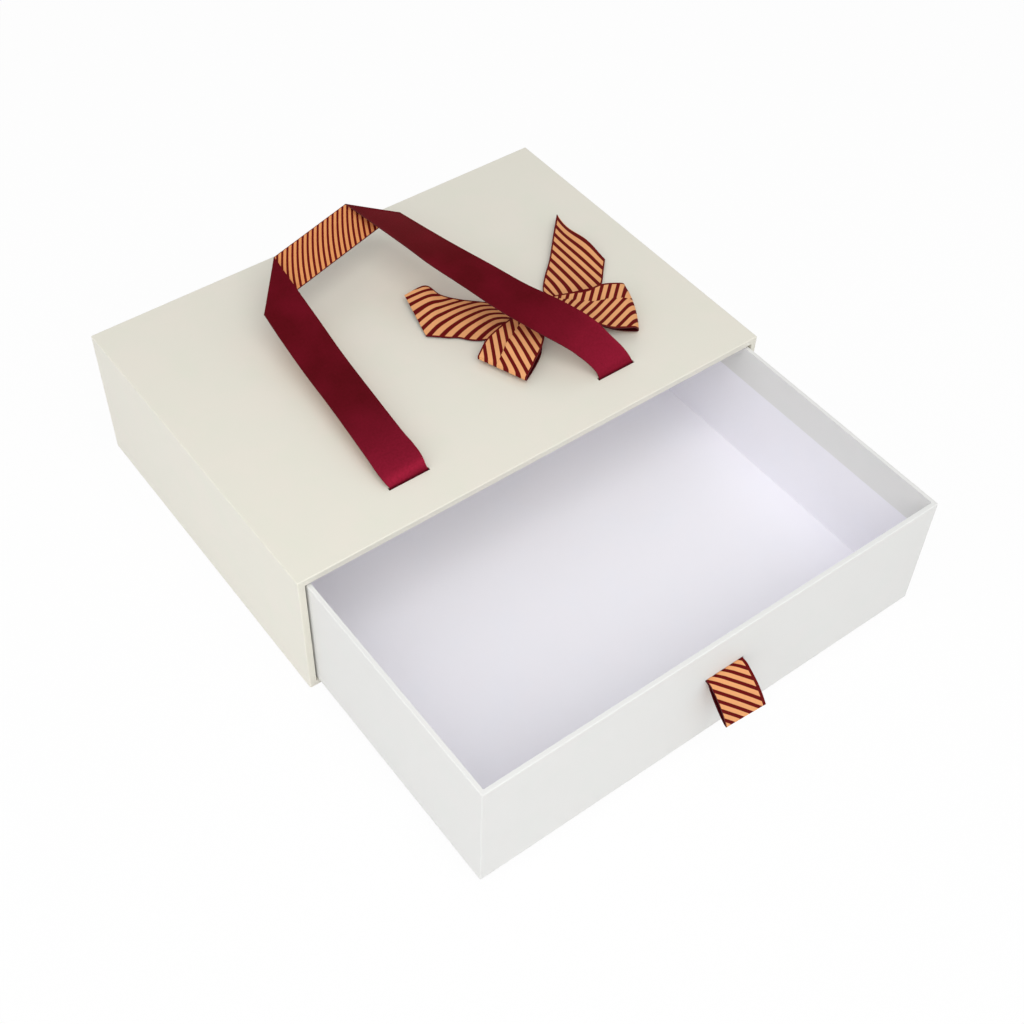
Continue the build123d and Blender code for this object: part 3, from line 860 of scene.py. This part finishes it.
def droop_left_tail(places, rows, layouts):
    """Give the left tail's rows their drooping stripes, a whole number of stripes further on."""
    stripe_run = bow_pitch / cos(radians(bow_slant))
    whole_stripes = None
    for index in range(left_rows + knot_rows, -1, -1):
        drawn = 1 - eased((index - left_rows) / knot_rows)
        left, right = rows[index][:2]
        for column, (_, place_share, _) in enumerate(layouts[index]):
            across_mm, along_mm = places[index][column]
            place = left.lerp(right, place_share) - bow_middle
            drooped = across_mm + drooping_stripes(place.x, place.y) / cos(radians(bow_slant))
            if whole_stripes is None:
                whole_stripes = round((along_mm - drooped) / stripe_run) * stripe_run
            drooped += whole_stripes
            places[index][column] = (across_mm, along_mm * (1 - drawn) + drooped * drawn)


def tail_places(rows, layouts, width):
    """Flat places of the tails, whose rows also give a heading."""
    run, before = 0.0, None
    places = []
    for index, ((left, right, _, turn), layout) in enumerate(zip(rows, layouts)):
        heading = Vector((cos(radians(turn)), sin(radians(turn)), 0))
        middle = left.lerp(right, 0.5)
        run += (middle - before).dot(heading) if before is not None else 0.0
        before = middle
        near_end = min(index, len(rows) - 1 - index) < cut_rows
        row_width = min(width, (right - left).cross(heading).length) if near_end else width
        line = []
        for share, place_share, _ in layout:
            ahead = (left.lerp(right, place_share) - middle).dot(heading)
            line.append((share * row_width, run + ahead))
        places.append(line)
    droop_left_tail(places, rows, layouts)
    return places, run


print(f"the stripes change their rule in {knot_rows} rows, inside the knot")

# %% Flat map of the loops
loop_tightness = 1.2     # a loop leans, so from above its stripes look closer together
# Before the pleat and behind it: a point on a dark stripe, from the bow's middle, and a heading.
loop_stripes = {
    "left": (((-24.9, -7.5), 77.5), ((-39.5, -6.2), 61.5)),
    "right": (((13.7, -26.1), 17.0), ((23.3, -12.8), 40.0)),
}


def loop_places(rows, layouts, width):
    """Flat places of the loops. The stripes follow the lines in loop_stripes."""
    places = []
    for (left, right, _), layout in zip(rows, layouts):
        side = "left" if left.x + right.x < 2 * bow_middle.x else "right"
        line = []
        for column, (share, place_share, _) in enumerate(layout):
            (x, y), turn = loop_stripes[side][column > pleat_column]
            square = Vector((sin(radians(turn)), -cos(radians(turn)), 0))
            place = left.lerp(right, place_share) - bow_middle - Vector((x, y, 0))
            stripe_mm = place.dot(square) * loop_tightness + dark_middle
            line.append((share * width, share * width + stripe_mm / cos(radians(bow_slant))))
        places.append(line)
    return places, run_lengths([row[0].lerp(row[1], 0.5) for row in rows])[-1]


for side, lines in loop_stripes.items():
    print(f"{side} loop: its stripes turn {lines[1][1] - lines[0][1]} degrees at the pleat")

# %% Tails
bow_steps = 8            # rows from one station to the next
bow_stripes = striped(
    "bow_stripes", bow_width, slant=bow_slant, pitch=bow_pitch, offset=bow_offset, paler=1.0)
curl_start = 0.86        # of the tails' rows, where the right one's end starts to curl
curl_up, curl_down = 3.8, 5.0    # mm, near its front edge and near its rear edge


def end_wave(row_share, column_share):
    """The right tail's cut end curls up near one edge and down near the other."""
    end = max(0.0, (row_share - curl_start) / (1 - curl_start))
    hump = sin(pi * column_share)
    return end * end * (curl_up * hump ** 2 * (1 - column_share)
                        - curl_down * hump * column_share ** 2)


tail_table = left_tail + [(*gathered(side, tail_height), 0) for side in (-1, 1)] + right_tail
tails, tails_length = make_ribbon(
    "tails", smooth_rows(bow_rows(tail_table), bow_steps), bow_width, (satin_face, bow_stripes),
    bow_crease, tail_places, end_wave)

# %% Loops
half_join = 0.4          # mm, half the gap between the strip's two ends, inside the knot
left_join, right_join = (((x, -pinch, loop_low), (x, pinch, loop_low), pinched_pleat)
                         for x in (-half_join, half_join))
before_right = [left_join, gathered(-1, loop_low), *left_loop,
                gathered(-1, loop_high), gathered(1, loop_high)]
loop_table = before_right + right_loop + [gathered(1, loop_low), right_join]
outermost_station = 4    # of right_loop
right_fold_row = (len(before_right) + outermost_station) / (len(loop_table) - 1)
belly_height, belly_reach = 1.5, 0.04    # mm, and a share of the rows


def belly(row_share, column_share):
    """The right loop's outer fold swells a little between its ends."""
    nearness = exp(-((row_share - right_fold_row) / belly_reach) ** 2)
    return belly_height * nearness * 4 * column_share * (1 - column_share)


loops, loops_length = make_ribbon(
    "loops", smooth_rows(bow_rows(loop_table), bow_steps), bow_width, (satin_face, bow_stripes),
    bow_crease, loop_places, belly)

# %% [markdown]
# ## Pull tab
# The pull is a short doubled ribbon through a slit in the drawer's front. Inside, both layers are
# glued down the front board. Outside they stand away from each other a little, and the tab
# droops. A doubled ribbon could be a thick block with one texture, but the dark gap between its
# layers shows. Its rows follow a side view, so they are worked out from a profile of y and z.

# %% Pull tab's places
pull_width = 19.0
end_low, end_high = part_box("pull_end")
pull_x = (end_low.x + end_high.x) / 2 / MM
pull_z = end_high.z / MM - ribbon_thickness
inner_face = end_high.y / MM - 2 * ribbon_thickness
hang_low = end_low.z / MM
pull_joint = next(joint for joint in frame["joints"] if joint["name"] == "pull_lift")
pull_hinge_y = pull_joint["pos_m"][1] / MM
pull_length, pull_droop, pull_roll = 19.4, radians(45), radians(8)
pull_root_gap, pull_layer_gap = 0.3, 0.8
outer_bulge, inner_bulge = 1.3, 0.8
slit_depth = 1           # mm that the layers run level before they turn down to be glued
glue_bend = 1.2          # mm from the slit down to where they lie on the board
glued_middle = 9         # mm from their lower end
out_and_down = Vector((0, -cos(pull_droop), -sin(pull_droop)))
tab_normal = Vector((0, -sin(pull_droop), cos(pull_droop)))
print(f"the glued layers hang {pull_z - hang_low:.1f} mm down the board")


# %% Pull tab's rows
def tab_row(share, bulge, layer):
    """The edges of one layer at a share of the tab's length; layer is 1 outside, -1 inside."""
    tilt = pull_roll * share
    half = (Vector((1, 0, 0)) * cos(tilt) + tab_normal * sin(tilt)) * (pull_width / 2)
    height = 4 * bulge * share * (1 - share) + pull_layer_gap / 2
    root = Vector((pull_x, pull_hinge_y - pull_root_gap, pull_z))
    middle = root + out_and_down * (pull_length * share) + tab_normal * (layer * height)
    return middle - half, middle + half


def glued_rows(offset, depth):
    """One layer from the bottom of the glued end up to the slit, offset from the slit's middle."""
    half = Vector((pull_width / 2, 0, 0))
    profile = [(inner_face + depth, hang_low), (inner_face + depth, hang_low + glued_middle),
               (inner_face + depth, pull_z - glue_bend),
               (inner_face + depth * 0.6, pull_z + offset),
               (inner_face - slit_depth, pull_z + offset)]
    return [(Vector((pull_x, y, z)) - half, Vector((pull_x, y, z)) + half) for y, z in profile]


def layer_rows(offset, depth, bulge, layer):
    """One whole layer, from its glued end to the tab's tip."""
    tab = [tab_row(share, bulge, layer) for share in (0.06, 0.2, 0.4, 0.6, 0.8, 1.0)]
    return smooth_rows(glued_rows(offset, depth) + tab, 7)


outer_rows = layer_rows(ribbon_thickness / 2, ribbon_thickness * 1.5, outer_bulge, 1)
inner_rows = layer_rows(-ribbon_thickness / 2, ribbon_thickness / 2, inner_bulge, -1)
print("rows in a layer of the pull:", len(outer_rows))

# %% Pull tab
tip_left, tip_right = outer_rows[-1]
tip_normal = (tip_right - tip_left).cross(out_and_down).normalized()
tip_normal *= 1 if tip_normal.z > 0 else -1
tip = half_turn(tip_left, tip_right, tip_normal, out_and_down, pull_layer_gap, steps=8)
pull_rows = outer_rows[:-1] + tip + inner_rows[::-1][1:]
pull_stripes = striped(
    "pull_stripes", pull_width, slant=45, offset=0.78, edge_left=0.2, edge_right=1.3, paler=0.8)
pull, pull_full_length = make_ribbon("pull", pull_rows, pull_width, (satin_face, pull_stripes))

# %% [markdown]
# ## Knot
# The band round the bow's middle is mostly under the handle. It is a short piece of the same
# ribbon, folded narrow. A spun ring would be round, and this one is pressed flat on the lid, so
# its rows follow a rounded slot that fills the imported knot's box.

# %% Knot
knot_low, knot_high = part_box("bow_knot")
knot_middle = (knot_low + knot_high) / 2 / MM
knot_half = (knot_high - knot_low) / 2 / MM
knot_steps = 48
squareness = 0.45        # 1 gives an ellipse, and near 0 a rectangle
half_band = knot_half.x - 0.2


def squared(value, half_size):
    """A sine or cosine, pushed out towards the sides of a slot of that half size."""
    pushed = abs(value) ** squareness * (half_size - ribbon_thickness / 2)
    return pushed if value > 0 else -pushed


band = []
for step in range(knot_steps + 1):
    angle = 2 * pi * step / knot_steps - pi / 2
    y, z = squared(cos(angle), knot_half.y), squared(sin(angle), knot_half.z)
    band.append((knot_middle + Vector((-half_band, y, z)),
                 knot_middle + Vector((half_band, y, z))))
knot_stripes = striped(
    "knot_stripes", 2 * knot_half.x, slant=45, offset=0.1, edge_left=0.0, edge_right=0.0)


def soft_folds(row_share, column_share):
    """Low folds along the band, a tenth of a millimetre high."""
    return 0.1 * sin(column_share * 5 * pi)


knot, _ = make_ribbon(
    "knot", band, 2 * knot_half.x, (knot_stripes, satin_face), bulge=soft_folds)

# %% [markdown]
# ## Glue
# The bow is held by a dot of hot glue, cloudy and smooth. It could be clear, with light passing
# through, but it is hidden under the knot, so a plain cloudy colour is enough.

# %% Glue
glue_recipe = Recipe("hot_glue")
glue_place = glue_recipe.node("TexCoord", output="Object")
glue_clouds = glue_recipe.noise(glue_place, 700, 2.0)
hot_glue = glue_recipe.finish(
    Base_Color=glue_recipe.mixed(glue_clouds, paint(232, 226, 200), paint(214, 205, 172)),
    Roughness=0.3)
slot_finish["hot_glue"] = hot_glue
slot_finish["handle_ribbon"] = satin_face
slot_finish["striped_ribbon"] = satin_face
print("slots with a finish:", len(slot_finish))

# %% [markdown]
# ## Joining the looks to the frame
# Each imported node takes the finish of its own material slot. Each ribbon stands for the plain
# solid it replaces, which is hidden. The handle and the pull cross a joint, but here they are
# only fixed where they are built: they don't follow the moving part. A ribbon that rode on the
# moving part alone would swing its glued ends through the lid.

# %% Finishes of the imported nodes
for subpart in frame["record"]["subparts"]:
    node = frame["nodes"][subpart["node"]]
    node.data.materials.clear()
    finish = slot_finish[subpart["material_slot"]]
    node.data.materials.append(node_finish.get(subpart["node"], finish))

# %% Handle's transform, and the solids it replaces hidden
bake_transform(handle)
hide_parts("handle_ribbon", "handle_end_left", "handle_end_right")
handle_length * MM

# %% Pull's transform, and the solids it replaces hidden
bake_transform(pull)
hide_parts("pull_ribbon", "pull_end")
pull_full_length * MM

# %% Bow's rides on the sleeve
for piece, node in ((tails, "bow_tails"), (loops, "bow_loops"), (knot, "bow_knot")):
    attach(piece, "sleeve")
    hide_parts(node)
tails_length * MM
loops_length * MM
print("on the sleeve:", tails.name, loops.name, knot.name)

# %% [markdown]
# ## Studio
# The photograph is a cut-out on white: soft light from all round, a little stronger from the
# camera's side. A plain white floor would look grey, so this one mostly glows white where the
# camera looks at it, and is a matt sheet for all other light.

# %% Floor
bpy.context.scene.view_settings.view_transform = "Standard"


def seen_directly(recipe):
    """1 where the camera, a reflection or something clear looks at it, and 0 for other light."""
    camera_ray, glossy_ray, clear_ray = (
        recipe.node("LightPath", output=f"Is {kind} Ray")
        for kind in ("Camera", "Glossy", "Transmission"))
    return camera_ray.larger(glossy_ray).larger(clear_ray)


floor_recipe = Recipe("floor")
floor_glow = floor_recipe.node("Emission", None, {"Color": (1, 1, 1, 1), "Strength": 1.0})
floor_matt = floor_recipe.node("BsdfDiffuse", None, {"Color": paint(240, 240, 240)})
glow_share = 0.95        # the rest takes the box's faint shadow
floor_mix = floor_recipe.node("MixShader", None, {
    0: seen_directly(floor_recipe) * glow_share, 1: floor_matt, 2: floor_glow})
floor_recipe.node("OutputMaterial", None, {"Surface": floor_mix})
bpy.ops.object.select_all(action="DESELECT")
bpy.ops.mesh.primitive_circle_add(vertices=96, radius=3.0, fill_type="NGON")
floor = bpy.context.object
floor.name = "floor"
floor.data.materials.append(floor_recipe.material)
floor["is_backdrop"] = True
print("floor, m:", round(floor.dimensions.x, 2))

# %% World
sky = Recipe("studio", world=True)
bpy.context.scene.world = sky.material
fill_light = 0.5
sky_strength = seen_directly(sky) * (1 - fill_light) + fill_light
sky_shader = sky.node("Background", None, {"Color": (1, 1, 1, 1), "Strength": sky_strength})
sky.node("OutputWorld", None, {"Surface": sky_shader})
print("light from all round:", fill_light)


# %% Lamps
box_middle = (0, -0.08, 0.05)


def soft_lamp(name, place, size, power):
    """A round soft lamp that looks at the box."""
    place, target = Vector(place), Vector(box_middle)
    bpy.ops.object.light_add(type="AREA")
    lamp = bpy.context.object
    lamp.name = name
    lamp.data.shape = "DISK"
    lamp.data.size = size
    lamp.data.energy = power
    lamp.matrix_world = (Matrix.Translation(place)
                         @ (target - place).to_track_quat("-Z", "Y").to_matrix().to_4x4())


soft_lamp("main_lamp", (-0.25, -0.66, 0.99), size=1.2, power=7.7)
soft_lamp("left_lamp", (-0.8, -0.2, 0.42), size=0.7, power=1.5)
soft_lamp("front_lamp", (0.5, -0.95, 0.4), size=0.7, power=0.5)
print("lamps:", len(bpy.data.lights))

# %% Sizes
low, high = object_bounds()
print("whole model, mm:", [round((high[axis] - low[axis]) / MM, 1) for axis in range(3)])
